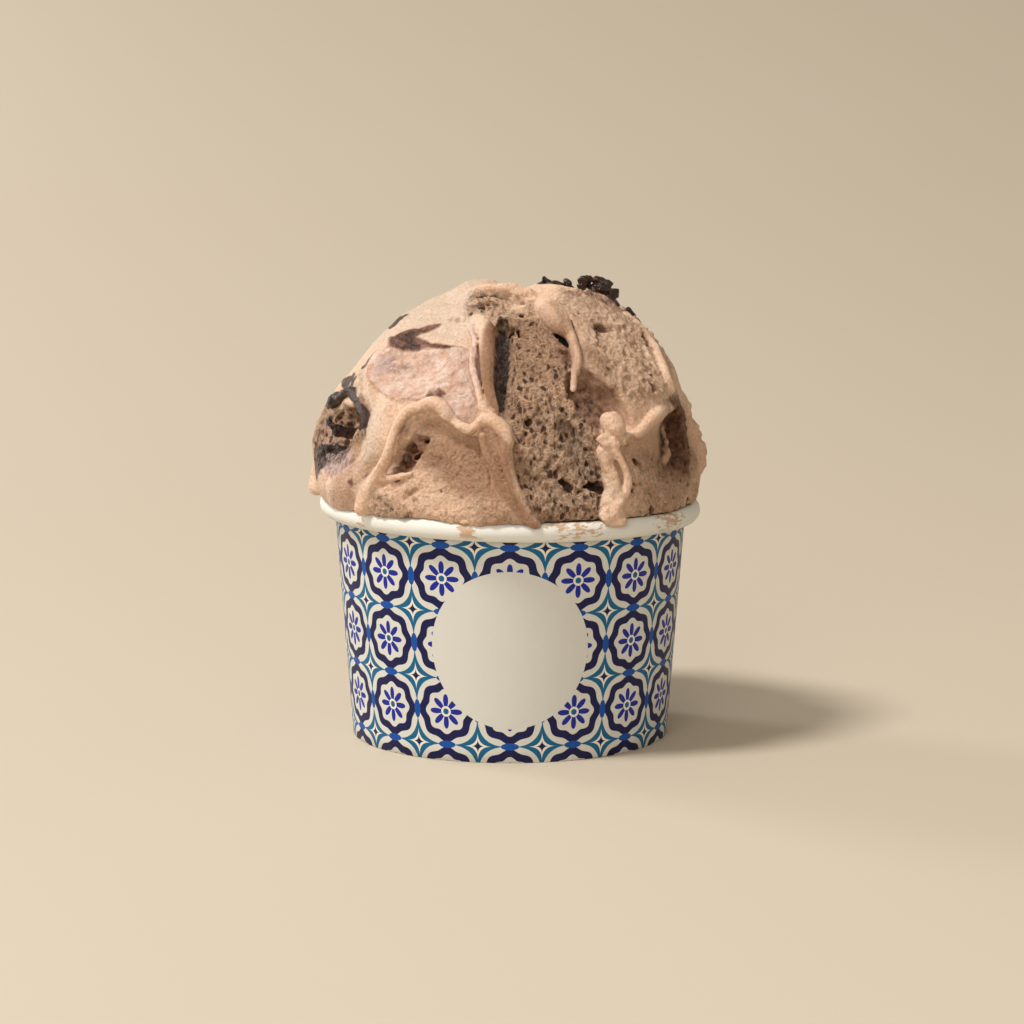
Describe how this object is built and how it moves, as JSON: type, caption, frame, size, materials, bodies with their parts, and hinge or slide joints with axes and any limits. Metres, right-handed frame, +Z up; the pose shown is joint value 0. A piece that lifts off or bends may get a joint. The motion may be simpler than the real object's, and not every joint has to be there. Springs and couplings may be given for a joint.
{
  "type": "gelato cup",
  "caption": "Paper gelato cup with a rolled rim, heaped high with spatula-laid chocolate gelato and broken dark chocolate.",
  "frame": {"origin": "centre of the cup's foot, on the table", "axes": "+Z up through the cup and the heap, front of the heap towards -Y, +X to the right of someone who faces the front"},
  "size_m": [0.0996, 0.1007, 0.1142],
  "materials": {
    "paperboard": "satin",
    "bottom_board": "matte",
    "gelato": "satin",
    "dark_chocolate": "gloss"
  },
  "bodies": {
    "root": {"cup_wall": "paperboard", "cup_bottom": "bottom_board", "gelato": "gelato", "chocolate_clump_top": "dark_chocolate", "chocolate_shard_crest": "dark_chocolate", "chocolate_ripple_left": "dark_chocolate"}
  },
  "joints": []
}
